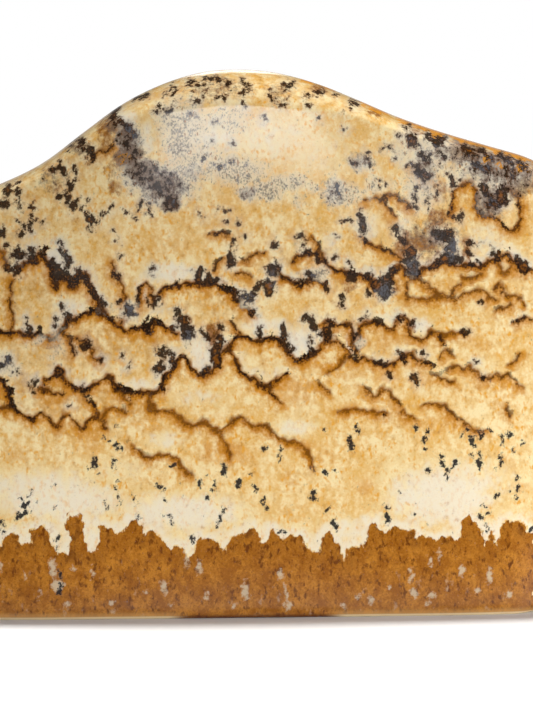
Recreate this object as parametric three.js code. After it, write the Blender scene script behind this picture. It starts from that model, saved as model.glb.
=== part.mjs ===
// A free-standing piece of polished picture jasper: one solid stone, a flattish pebble with a humped
// crest like a hill, polished all round and sawn flat underneath so that it stands on its long edge.
// Millimetres. X runs along the stone, Y through its thickness (the picture side faces -Y), Z is up.
// The origin is in the middle of the sawn base, on the surface that the stone stands on.

import * as THREE from "three";

// Driving dimensions
const LENGTH = 80;
const THICKNESS = 23;
const TIP_HEIGHT = 19; // height of the foremost point of the left and right tips

// The crest seen from the front: [x, height]. A hill left of the middle, a long slope to the right.
const CREST = [
  [-40, 37.6],
  [-34, 39.9],
  [-29, 41.8],
  [-24.5, 43.4],
  [-20.5, 45.4],
  [-16.5, 48.4],
  [-12.5, 51.3],
  [-8.5, 53.3],
  [-4.5, 54.5],
  [-0.5, 54.8],
  [3.5, 54.4],
  [7.5, 53.3],
  [11.5, 51.7],
  [15.5, 50.0],
  [19.5, 48.6],
  [23.5, 47.4],
  [28.8, 45.9],
  [34, 44.4],
  [40, 42.5],
];

// The tips: where each starts to round off in the front view, and how square its rounding is
const LEFT_TIP_START = 27;
const RIGHT_TIP_START = 27.5;
const TIP_SQUARENESS = 2.3;
const TIP_BLEND = 1.5; // how late towards a tip the section turns into an ellipse
const PLAN_START = 16; // the plan view narrows outside this distance from the middle
const PLAN_SQUARENESS = 2.5;

// The stone's middle plane is turned a little about the upright, its left end towards the picture side
const TURN = 0.08; // mm of depth per mm of length

// The section from base to crest, as shares of the height and of the half thickness
const BASE_ROUND = 0.5; // mm, radius of the edge between the base and the faces
const CREST_ROUND = { x: -0.8, reach: 9, hump: 3.9, slopes: 1.3 }; // mm, height of the crest's tight rounding
const MOST_CREST_ROUND = 0.2; // share of the height, reached only at the tips
const CREST_TIGHT = 0.5; // share of the half thickness that this rounding takes
const FACE_LEAN = 0.24; // share by which the face leans back evenly from base to crest, 3 degrees
const DOME_START = 0.42; // share of the height where the face begins to lean back more

// The small ground facet at the upper right of the picture side: a point of it, how far it leans and turns,
// how far it lies there from the middle plane, and the share of the section that it leaves at the least
const FACET = { x: 28.3, z: 45, lean: 0.42, angle: 42, depth: 7.3, least: 0.2 };

// Mesh density
const COLUMNS = 64;
const BASE_ROWS = 3;
const EDGE_ROWS = 3;
const FACE_ROWS = 13;
const CREST_ROWS = 6;

// A smooth curve through the crest points: cubic Hermite pieces with the slopes of the neighbours.
function crestHeight(x) {
  const last = CREST.length - 2;
  let i = CREST.findIndex(([px]) => px > x) - 1;
  if (i < 0) i = x < 0 ? 0 : last;
  const slope = (k) => {
    const a = CREST[Math.max(k - 1, 0)];
    const b = CREST[Math.min(k + 1, CREST.length - 1)];
    return (b[1] - a[1]) / (b[0] - a[0]);
  };
  const [x0, z0] = CREST[i];
  const [x1, z1] = CREST[i + 1];
  const span = x1 - x0;
  const t = (x - x0) / span;
  const t2 = t * t;
  const t3 = t2 * t;
  return (
    z0 * (2 * t3 - 3 * t2 + 1) +
    z1 * (3 * t2 - 2 * t3) +
    slope(i) * span * (t3 - 2 * t2 + t) +
    slope(i + 1) * span * (t3 - t2)
  );
}

// 1 up to the start, then a superellipse down to 0 at the tip of the stone.
function rounding(x, start, squareness) {
  const share = Math.max(0, (Math.abs(x) - start) / (LENGTH / 2 - start));
  return Math.pow(Math.max(0, 1 - Math.pow(share, squareness)), 1 / squareness);
}

function tipRounding(x) {
  return rounding(x, x < 0 ? LEFT_TIP_START : RIGHT_TIP_START, TIP_SQUARENESS);
}

function top(x) {
  return TIP_HEIGHT + (crestHeight(x) - TIP_HEIGHT) * tipRounding(x);
}

function bottom(x) {
  return TIP_HEIGHT * (1 - tipRounding(x));
}

function halfThickness(x) {
  return (THICKNESS / 2) * rounding(x, PLAN_START, PLAN_SQUARENESS);
}

// The height of the crest's tight rounding at x as a share of the height: wide on the hump, narrow beside it.
function crestRound(x, height) {
  const { x: centre, reach, hump, slopes } = CREST_ROUND;
  const round = slopes + (hump - slopes) / (1 + ((x - centre) / reach) ** 4);
  return Math.min(round / height, MOST_CREST_ROUND);
}

// Half thickness as a share, at a share of the height: a flat, leaning face with a rounded crest.
function faceShare(rise, round) {
  const tight = Math.max(0, (rise - (1 - round)) / round);
  const dome = Math.max(0, (rise - DOME_START) / (1 - DOME_START));
  const domed = (1 - CREST_TIGHT - FACE_LEAN) * (1 - dome * dome);
  return CREST_TIGHT * Math.sqrt(Math.max(0, 1 - tight * tight)) + FACE_LEAN * (1 - rise) + domed;
}

// Towards the tips the section turns from that shape into an ellipse: 0 in the middle, 1 at a tip.
function tipShare(x) {
  return Math.max(0, (Math.abs(x) - LEFT_TIP_START) / (LENGTH / 2 - LEFT_TIP_START)) ** TIP_BLEND;
}

// One half of the section at x, from the middle of the base to the crest: [distance from the middle, z].
function halfSection(x) {
  const low = bottom(x);
  const height = top(x) - low;
  const half = halfThickness(x);
  const edge = Math.min(BASE_ROUND, height / 4, half / 4);
  const points = [];
  for (let i = 0; i < BASE_ROWS; i++) points.push([((half - edge) * i) / BASE_ROWS, low]);
  for (let i = 0; i < EDGE_ROWS; i++) {
    const turn = ((i / EDGE_ROWS) * Math.PI) / 2;
    points.push([half - edge + edge * Math.sin(turn), low + edge * (1 - Math.cos(turn))]);
  }
  const edgeRise = edge / height;
  const round = crestRound(x, height);
  for (let i = 0; i < FACE_ROWS; i++) {
    const rise = edgeRise + ((1 - round - edgeRise) * i) / FACE_ROWS;
    points.push([half * faceShare(rise, round), low + height * rise]);
  }
  for (let i = 0; i <= CREST_ROWS; i++) {
    const rise = 1 - round * (1 - Math.sin(((i / CREST_ROWS) * Math.PI) / 2));
    points.push([half * faceShare(rise, round), low + height * rise]);
  }
  const tip = tipShare(x);
  return points.map(([out, z], i) => {
    const angle = (Math.PI * i) / (points.length - 1);
    const [roundOut, roundZ] = [half * Math.sin(angle), low + (height * (1 - Math.cos(angle))) / 2];
    return [out + (roundOut - out) * tip, z + (roundZ - z) * tip];
  });
}

// How far the ground facet lets the picture side stand out at a point.
function facetLimit(x, z) {
  const across = x - FACET.x + FACET.lean * (z - FACET.z);
  return FACET.depth - across * Math.tan(THREE.MathUtils.degToRad(FACET.angle));
}

// The whole section: up the picture side, over the crest and down the back.
function section(x) {
  const half = halfSection(x);
  const front = half.map(([out, z]) => {
    const limit = Math.max(facetLimit(x, z), FACET.least * out);
    return [x, TURN * x - Math.min(out, limit), z];
  });
  const back = half
    .slice(1, -1)
    .reverse()
    .map(([out, z]) => [x, TURN * x + out, z]);
  return [...front, ...back];
}

function stoneGeometry() {
  const positions = [-LENGTH / 2, (-TURN * LENGTH) / 2, TIP_HEIGHT];
  const columns = [];
  for (let i = 1; i < COLUMNS; i++) {
    const x = (-LENGTH / 2) * Math.cos((Math.PI * i) / COLUMNS);
    const ring = section(x);
    columns.push(positions.length / 3);
    ring.forEach((point) => positions.push(...point));
  }
  const ringSize = (positions.length / 3 - 1) / columns.length;
  const rightTip = positions.length / 3;
  positions.push(LENGTH / 2, (TURN * LENGTH) / 2, TIP_HEIGHT);

  const faces = [];
  for (let j = 0; j < ringSize; j++) {
    const next = (j + 1) % ringSize;
    faces.push(0, columns[0] + j, columns[0] + next);
    for (let i = 0; i + 1 < columns.length; i++) {
      const [a, b] = [columns[i] + j, columns[i + 1] + j];
      const [c, d] = [columns[i + 1] + next, columns[i] + next];
      faces.push(a, b, c, a, c, d);
    }
    const end = columns[columns.length - 1];
    faces.push(end + j, rightTip, end + next);
  }
  const geometry = new THREE.BufferGeometry();
  geometry.setAttribute("position", new THREE.Float32BufferAttribute(positions, 3));
  geometry.setIndex(faces);
  geometry.computeVertexNormals();
  return geometry;
}

const stone = new THREE.Mesh(
  stoneGeometry(),
  new THREE.MeshStandardMaterial({ color: 0xd9b377, roughness: 0.22, metalness: 0 }),
);
stone.name = "jasper_stone";

const group = new THREE.Group();
group.add(stone);

export default group;
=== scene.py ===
"""The looks of a free-standing piece of polished picture jasper.

The stone is one fine surface with the form of its solid. Its markings are strokes drawn on the picture
side, which the stone carries through its depth: the mesh keeps how far each of its points is from them,
and the material turns those distances into veins, blots, tints and bands with ragged edges.

Lengths are millimetres here and become metres in the meshes. The drawing has units of its own, tenths
of a millimetre, x to the right and y down: one unit is one pixel of the photograph.
"""

import math

import bpy
import numpy as np
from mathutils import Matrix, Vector


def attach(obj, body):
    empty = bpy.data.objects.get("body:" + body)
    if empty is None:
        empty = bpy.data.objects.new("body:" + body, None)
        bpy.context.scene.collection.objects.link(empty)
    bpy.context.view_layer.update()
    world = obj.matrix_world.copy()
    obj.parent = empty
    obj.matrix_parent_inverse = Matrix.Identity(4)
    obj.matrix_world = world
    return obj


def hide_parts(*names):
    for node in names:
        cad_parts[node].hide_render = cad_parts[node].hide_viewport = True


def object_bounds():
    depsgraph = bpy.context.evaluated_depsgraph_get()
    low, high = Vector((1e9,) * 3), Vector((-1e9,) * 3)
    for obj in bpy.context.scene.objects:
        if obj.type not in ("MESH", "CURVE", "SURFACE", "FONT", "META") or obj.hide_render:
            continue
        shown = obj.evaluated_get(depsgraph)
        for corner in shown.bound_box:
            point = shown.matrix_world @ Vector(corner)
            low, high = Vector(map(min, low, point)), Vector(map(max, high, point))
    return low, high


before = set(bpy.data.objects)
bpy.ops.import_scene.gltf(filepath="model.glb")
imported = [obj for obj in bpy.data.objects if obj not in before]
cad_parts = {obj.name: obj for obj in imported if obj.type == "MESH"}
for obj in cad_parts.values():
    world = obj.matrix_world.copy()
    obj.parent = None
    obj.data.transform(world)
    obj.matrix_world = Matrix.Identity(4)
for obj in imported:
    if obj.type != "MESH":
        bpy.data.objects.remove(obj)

cad_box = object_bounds()
MM = 0.001

# The stone's form: the driving dimensions of its solid
LENGTH = 80
THICKNESS = 23
TIP_HEIGHT = 19  # height of the foremost point of the left and right tips
CREST = np.array([
    (-40, 37.6), (-34, 39.9), (-29, 41.8), (-24.5, 43.4), (-20.5, 45.4), (-16.5, 48.4), (-12.5, 51.3),
    (-8.5, 53.3), (-4.5, 54.5), (-0.5, 54.8), (3.5, 54.4), (7.5, 53.3), (11.5, 51.7), (15.5, 50.0),
    (19.5, 48.6), (23.5, 47.4), (28.8, 45.9), (34, 44.4), (40, 42.5),
])
LEFT_TIP_START = 27
RIGHT_TIP_START = 27.5
TIP_SQUARENESS = 2.3
TIP_BLEND = 1.5
PLAN_START = 16
PLAN_SQUARENESS = 2.5
TURN = 0.08  # mm of depth per mm of length
BASE_ROUND = 0.5
CREST_ROUND = {"x": -0.8, "reach": 9, "hump": 3.9, "slopes": 1.3}
MOST_CREST_ROUND = 0.2
CREST_TIGHT = 0.5
FACE_LEAN = 0.24
DOME_START = 0.42
FACET = {"x": 28.3, "z": 45, "lean": 0.42, "angle": 42, "depth": 7.3, "least": 0.2}
TURN_SHARES = {"base": 0.12, "edge": 0.12, "face": 0.52, "crest": 0.24}  # of the tips' round section

# The fine surface: rows up the picture side and down the back, and columns from tip to tip
FRONT_ROWS = {"base": 5, "edge": 6, "face": 206, "crest": 26}
BACK_ROWS = {"base": 5, "edge": 4, "face": 76, "crest": 14}
PICTURE_SPAN = (-25, 29.3)
COLUMN_STEP = 0.235
TIP_COLUMNS = 28
HAND_WAVE = 0.035  # mm, the slight unevenness that polishing by hand leaves
BACK_SHIFT = 7  # mm, how far along the stone the back's unevenness is from the picture side's
HAND_WAVES = [(1, 2.9, 5.1, 0), (1, 4.3, -3.7, 2), (1, 9, 2.6, 1)]  # read by waves(), in mm

# The camera: a long lens, a little above the stone, in front of the picture side
DISTANCE = 400
ELEVATION = math.radians(4)
AIM = Vector((2.15, -11.3, 26.62))
LENS = 204.6
SENSOR = 36
PICTURE = (533, 706)  # pixels of the photograph
UNIT = SENSOR * DISTANCE / LENS / PICTURE[1]  # mm of the stone's face to a unit of the drawing

# The floor, and the lamps: azimuth, elevation, distance, width and height in metres, share of light, tint
FLOOR = {"side": 0.9, "front": -0.085, "back": 0.9}  # m
FLOOR_TONES = (0.88, 0.92)
SURROUND = 0.04  # how bright the surround is for the stone and floor, where the camera sees it as 1
SOFT_BOXES = {
    "key_box": (52, 10, 0.28, 0.16, 0.16, 0.66, (1, 1, 1)),
    "front_box": (9, 29, 0.6, 0.2, 0.17, 0.16, (0.97, 0.97, 1.0)),
    "back_sheet": (180, 8, 1.0, 1.6, 0.14, 0.02, (1, 1, 1)),
    "back_card": (181, 22, 1.0, 0.16, 0.28, 0.032, (1, 1, 1)),
}
BOX_AIM = Vector((0, 0, 0.03))  # m, the point that the lamps stand round
TOP_LAMP = {"share": 1.0, "angle": 9, "tilt": -12.5}  # angle and tilt in degrees


def crest_height(x):
    """Cubic Hermite pieces through CREST, each point's slope being that between its neighbours."""
    px, pz = CREST.T
    before = np.r_[0, np.arange(len(px) - 1)]
    after = np.r_[np.arange(1, len(px)), len(px) - 1]
    slope = (pz[after] - pz[before]) / (px[after] - px[before])
    i = np.clip(np.searchsorted(px, x, side="right") - 1, 0, len(px) - 2)
    span = px[i + 1] - px[i]
    t = (x - px[i]) / span
    ends = pz[i] * (2 * t**3 - 3 * t**2 + 1) + pz[i + 1] * (3 * t**2 - 2 * t**3)
    return ends + slope[i] * span * (t**3 - 2 * t**2 + t) + slope[i + 1] * span * (t**3 - t**2)


def rounding(x, start, squareness):
    """1 up to the start, then a superellipse down to 0 at the stone's tip."""
    share = np.maximum(0, (np.abs(x) - start) / (LENGTH / 2 - start))
    return np.maximum(0, 1 - share**squareness) ** (1 / squareness)


def tip_rounding(x):
    """The rounding of the front view, which starts elsewhere at each end."""
    return rounding(x, np.where(x < 0, LEFT_TIP_START, RIGHT_TIP_START), TIP_SQUARENESS)


def half_thickness(x):
    """Half the thickness, narrowed towards the tips by the plan view's rounding."""
    return THICKNESS / 2 * rounding(x, PLAN_START, PLAN_SQUARENESS)


def crest_round(x, height):
    """The crest's tight rounding as a share of the height: a bell over x, wide on the hump."""
    hump, slopes = CREST_ROUND["hump"], CREST_ROUND["slopes"]
    round_ = slopes + (hump - slopes) / (1 + ((x - CREST_ROUND["x"]) / CREST_ROUND["reach"]) ** 4)
    return np.minimum(round_ / height, MOST_CREST_ROUND)


def face_share(rise, tight_part):
    """Half thickness as a share, at a share of the height: a flat, leaning face, then a rounded crest."""
    tight = np.maximum(0, (rise - (1 - tight_part)) / tight_part)
    dome = np.maximum(0, (rise - DOME_START) / (1 - DOME_START))
    domed = (1 - CREST_TIGHT - FACE_LEAN) * (1 - dome**2)
    return CREST_TIGHT * np.sqrt(np.maximum(0, 1 - tight**2)) + FACE_LEAN * (1 - rise) + domed


def half_section(x, rows):
    """Distance from the middle plane and height, a row of points for each x, from the base to the crest.

    A flat base, a quarter circle, the face and the crest follow each other. Towards the tips each point
    moves to the like point of a half ellipse.
    """
    x = x[:, None]
    low = TIP_HEIGHT * (1 - tip_rounding(x))
    height = TIP_HEIGHT + (crest_height(x) - TIP_HEIGHT) * tip_rounding(x) - low
    half = half_thickness(x)
    edge = np.minimum(BASE_ROUND, np.minimum(height / 4, half / 4))
    steps = {part: np.arange(count) / count for part, count in rows.items()}
    turn = steps["edge"] * math.pi / 2
    tight = crest_round(x, height)
    face = edge / height + (1 - tight - edge / height) * steps["face"]
    crest = 1 - tight * (1 - np.sin(np.r_[steps["crest"], 1] * math.pi / 2))
    out = np.hstack([
        (half - edge) * steps["base"],
        half - edge + edge * np.sin(turn),
        half * face_share(face, tight),
        half * face_share(crest, tight),
    ])
    up = np.hstack([0 * edge * steps["base"], edge * (1 - np.cos(turn)), height * face, height * crest])
    start = np.cumsum([0, *TURN_SHARES.values()])
    shares = [start[k] + steps[part] * TURN_SHARES[part] for k, part in enumerate(rows)]
    angle = math.pi * np.r_[np.concatenate(shares), 1]
    share = np.maximum(0, (np.abs(x) - LEFT_TIP_START) / (LENGTH / 2 - LEFT_TIP_START))
    tip = share**TIP_BLEND
    out = out + (half * np.sin(angle) - out) * tip
    up = up + (height * (1 - np.cos(angle)) / 2 - up) * tip
    return out, low + up


def waves(across, along, table):
    """The sum of sine waves. A row gives a wave's size, its lengths across and along, and its start."""
    return sum(size * np.sin(across / a + along / b + start) for size, a, b, start in table)


def hand_wave(x, z):
    """How far polishing has taken the faces in: the mean of long waves, scaled to lie between 0 and 1."""
    return HAND_WAVE * (1 + waves(x, z, HAND_WAVES) / len(HAND_WAVES)) / 2


def stone_points():
    """The surface as a grid of points, one ring of rows for each column, and the two tips' points.

    Columns stand evenly along the picture and follow a sine to each tip. In each, the half section goes
    out from the turned middle plane to both sides, less the hand polishing. The picture side's distance
    is also held to that of the ground facet, a plane that leans and turns about its own point.
    """
    reach = LENGTH / 2
    left, right = PICTURE_SPAN
    swing = np.sin(np.arange(TIP_COLUMNS) / TIP_COLUMNS * math.pi / 2)
    count = round((right - left) / COLUMN_STEP)
    x = np.concatenate([
        (left - (left + reach) * swing)[:0:-1],
        np.linspace(left, right, count),
        (right + (reach - right) * swing)[1:],
    ])
    out, z = half_section(x, FRONT_ROWS)
    across = x[:, None] - FACET["x"] + FACET["lean"] * (z - FACET["z"])
    facet = FACET["depth"] - across * math.tan(math.radians(FACET["angle"]))
    out = np.minimum(out, np.maximum(facet, FACET["least"] * out))
    out -= hand_wave(x[:, None], z) * np.minimum(1, out) * np.minimum(1, z)
    front = np.stack([x[:, None] + 0 * z, TURN * x[:, None] - out, z], axis=-1)
    out, z = half_section(x, BACK_ROWS)
    out -= hand_wave(x[:, None] + BACK_SHIFT, z) * np.minimum(1, out) * np.minimum(1, z)
    back = np.stack([x[:, None] + 0 * z, TURN * x[:, None] + out, z], axis=-1)
    rings = np.concatenate([front, back[:, -2:0:-1]], axis=1)
    tips = np.array([(-reach, -TURN * reach, TIP_HEIGHT), (reach, TURN * reach, TIP_HEIGHT)])
    return rings, tips


def as_drawn(points):
    """Where points of the stone lie on the drawing: seen from the camera, in the drawing's units."""
    ahead = np.array((0, math.cos(ELEVATION), -math.sin(ELEVATION)))
    upward = np.array((0, math.sin(ELEVATION), math.cos(ELEVATION)))
    from_aim = points - np.array(AIM)
    scale = DISTANCE / (DISTANCE + from_aim @ ahead)
    x = from_aim[:, 0] * scale
    up = from_aim @ upward * scale
    return PICTURE[0] / 2 + x / UNIT, PICTURE[1] / 2 - up / UNIT


# The markings, in the drawing's units. Veins run from left to right, so that their left side is above.
# Each kind: half width, how dark its core is, how much rust is below it and how bleached it is above.
VEIN_KINDS = {
    "main": (1.3, 1.0, 0.9, 0.6),
    "brown": (1.0, 0.8, 0.7, 0.35),
    "hair": (0.7, 0.7, 0.35, 0.1),
    "amber": (0.85, 0.45, 0.6, 0.1),
    "rusty": (1.0, 0.3, 1.0, 0.0),
}
VEINS = {
    "main": [
        [(20, 268), (27, 264), (34, 263), (38, 256), (41, 253), (45, 260), (50, 268), (52, 278), (56, 287),
         (59, 281), (63, 278), (67, 283), (73, 288), (78, 279), (83, 275), (87, 279), (90, 286), (94, 296),
         (98, 306), (104, 312), (111, 319), (118, 326), (127, 331), (136, 329), (143, 330), (148, 334),
         (151, 328), (155, 322), (159, 324), (166, 328), (176, 333)],
        [(0, 331), (8, 334), (17, 333), (29, 336), (37, 335), (43, 338), (50, 339), (57, 337), (61, 330),
         (66, 325), (69, 320), (77, 320), (83, 315), (90, 312), (95, 311), (101, 315), (107, 319),
         (114, 324)],
        [(0, 379), (4, 386), (9, 394), (11, 403), (15, 411), (21, 414), (27, 417), (33, 420), (38, 416)],
        [(45, 380), (51, 379), (56, 374), (59, 369), (63, 378), (69, 385), (77, 390), (85, 390), (93, 386),
         (101, 381), (106, 378), (110, 377), (113, 384), (117, 389), (124, 392), (134, 393), (145, 393),
         (153, 393), (160, 390), (163, 382), (167, 377), (172, 370), (179, 361), (184, 357)],
        [(161, 291), (166, 288), (174, 286), (182, 285), (190, 284), (199, 284), (208, 285), (216, 286),
         (224, 289), (231, 292), (235, 298), (241, 305), (247, 309), (251, 313)],
        [(278, 276), (285, 278), (291, 281), (297, 285), (303, 285), (309, 282), (316, 280), (323, 283)],
        [(328, 266), (335, 270), (343, 271), (349, 274), (357, 276), (364, 276), (371, 280), (376, 288)],
        [(393, 276), (396, 270), (400, 266), (404, 270), (408, 276), (414, 276), (420, 272), (427, 269),
         (434, 265), (441, 263), (450, 264), (458, 266), (464, 265), (471, 267), (480, 267), (487, 263),
         (492, 261), (497, 262), (499, 257), (504, 254), (508, 256), (512, 262), (518, 266), (524, 271),
         (533, 270)],
        [(184, 357), (189, 364), (194, 371), (202, 375), (210, 374), (216, 366), (222, 354), (227, 350)],
        [(227, 350), (231, 345), (236, 338), (243, 337), (250, 339), (258, 341), (267, 341), (273, 338),
         (278, 341), (284, 347), (289, 353), (295, 359), (301, 362), (307, 358), (314, 354), (320, 350),
         (323, 342), (326, 333)],
        [(227, 350), (233, 357), (238, 366), (244, 375), (250, 378), (256, 379), (260, 385), (265, 388),
         (269, 387), (274, 381), (280, 378), (286, 376)],
    ],
    "brown": [
        [(269, 387), (271, 394), (275, 398), (280, 402)],
        [(41, 389), (47, 392), (53, 394), (60, 394)],
        [(38, 416), (42, 414), (49, 418), (54, 423), (58, 427), (61, 420), (66, 415), (70, 416), (75, 423),
         (81, 428), (86, 425), (91, 419), (97, 417), (101, 421), (106, 427)],
        [(86, 399), (92, 403), (96, 408), (98, 416)],
        [(326, 324), (333, 325), (340, 325), (349, 324), (351, 330), (353, 340), (357, 350), (359, 336),
         (360, 327), (366, 322), (373, 323), (382, 326), (391, 330), (397, 322), (401, 318), (406, 321),
         (409, 330), (412, 337), (421, 340), (428, 336), (432, 332), (437, 336), (442, 343)],
        [(323, 342), (333, 341), (341, 345), (347, 351), (351, 359), (358, 361), (363, 357), (370, 360),
         (377, 365), (384, 366), (392, 364), (399, 360), (404, 357), (410, 352), (415, 357), (420, 362),
         (429, 365)],
        [(362, 238), (368, 243), (375, 246), (382, 248), (388, 252), (394, 254), (400, 257)],
        [(450, 215), (452, 200), (456, 190), (461, 185), (468, 182), (473, 184), (476, 192), (476, 205),
         (480, 214), (487, 216), (495, 218), (501, 222), (503, 227), (510, 230), (516, 229), (519, 222),
         (521, 212), (519, 202), (515, 195), (508, 188)],
        [(138, 306), (139, 297), (141, 289), (145, 284), (149, 285), (152, 290), (153, 299)],
        [(294, 262), (297, 257), (303, 256), (309, 254), (317, 256), (324, 260), (328, 266)],
    ],
    "hair": [
        [(12, 283), (10, 298), (12, 312), (13, 327)],
        [(64, 335), (70, 341), (73, 353)],
        [(76, 338), (83, 341), (89, 346), (93, 352), (94, 357), (100, 360)],
        [(112, 263), (114, 271), (118, 277), (122, 282), (123, 290), (125, 300)],
        [(214, 269), (217, 264), (221, 260)],
        [(244, 261), (248, 262), (250, 256), (256, 253), (263, 253)],
        [(238, 273), (243, 272), (249, 276)],
        [(214, 233), (220, 232), (227, 234)],
        [(312, 238), (318, 246), (322, 255)],
        [(366, 200), (373, 197), (382, 200), (387, 195), (393, 194), (398, 198), (404, 202), (410, 208)],
        [(384, 200), (388, 208), (394, 216)],
        [(496, 289), (500, 284), (503, 290)],
        [(516, 322), (522, 319), (530, 319)],
        [(233, 325), (236, 330), (240, 335)],
        [(93, 156), (97, 152), (101, 150), (108, 152), (112, 148)],
        [(414, 170), (419, 175), (424, 179), (431, 180)],
    ],
    "amber": [
        [(497, 311), (503, 307), (510, 305)],
        [(320, 385), (326, 389), (329, 392)],
        [(507, 408), (510, 416)],
        [(510, 364), (515, 359), (520, 355)],
        [(434, 376), (444, 379), (453, 382)],
        [(365, 389), (370, 393), (374, 397), (379, 392), (383, 388), (389, 391), (394, 398), (399, 404)],
        [(425, 405), (431, 403), (437, 404), (444, 406), (449, 412), (455, 418), (463, 422), (470, 427),
         (477, 431), (484, 431)],
        [(505, 294), (512, 297), (519, 297), (525, 304)],
        [(447, 297), (455, 299), (461, 297), (467, 293), (474, 290), (481, 290), (486, 294), (490, 299),
         (495, 299)],
        [(418, 279), (424, 283), (430, 288), (436, 293), (441, 294), (447, 297), (452, 293), (457, 287),
         (460, 284)],
        [(410, 279), (408, 287), (406, 296), (411, 299)],
        [(449, 369), (456, 366), (463, 369), (470, 366), (476, 371), (482, 379), (489, 379), (494, 374),
         (501, 377), (508, 376), (514, 381), (520, 386)],
        [(440, 357), (444, 352), (449, 351), (453, 355)],
    ],
    "rusty": [
        [(149, 407), (156, 411), (164, 411), (172, 411), (178, 416), (183, 422), (188, 426), (196, 425),
         (203, 421), (208, 424), (213, 429), (220, 436), (226, 446), (231, 458)],
        [(134, 447), (140, 452), (146, 457), (154, 457), (162, 455), (170, 455), (177, 459), (183, 469),
         (190, 475)],
        [(205, 419), (213, 429), (222, 431), (228, 424), (235, 420), (243, 418), (251, 424), (258, 427),
         (265, 426), (271, 432), (278, 437), (286, 440), (296, 443), (305, 449), (311, 458), (313, 466)],
        [(103, 416), (108, 410), (116, 408), (123, 411)],
        [(340, 411), (351, 410), (361, 410), (371, 411), (378, 414), (386, 413)],
        [(403, 412), (407, 416), (414, 418)],
        [(120, 393), (126, 400), (130, 404)],
        [(146, 394), (150, 403), (156, 411)],
        [(430, 332), (440, 334), (452, 333), (462, 334)],
        [(414, 299), (424, 299), (433, 298), (445, 297)],
        [(463, 276), (471, 279), (479, 276)],
        [(500, 264), (503, 274), (508, 272), (510, 266)],
        [(0, 408), (8, 409), (14, 412)],
        [(0, 250), (4, 255), (6, 262)],
        [(345, 358), (338, 367), (330, 372)],
    ],
}

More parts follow.
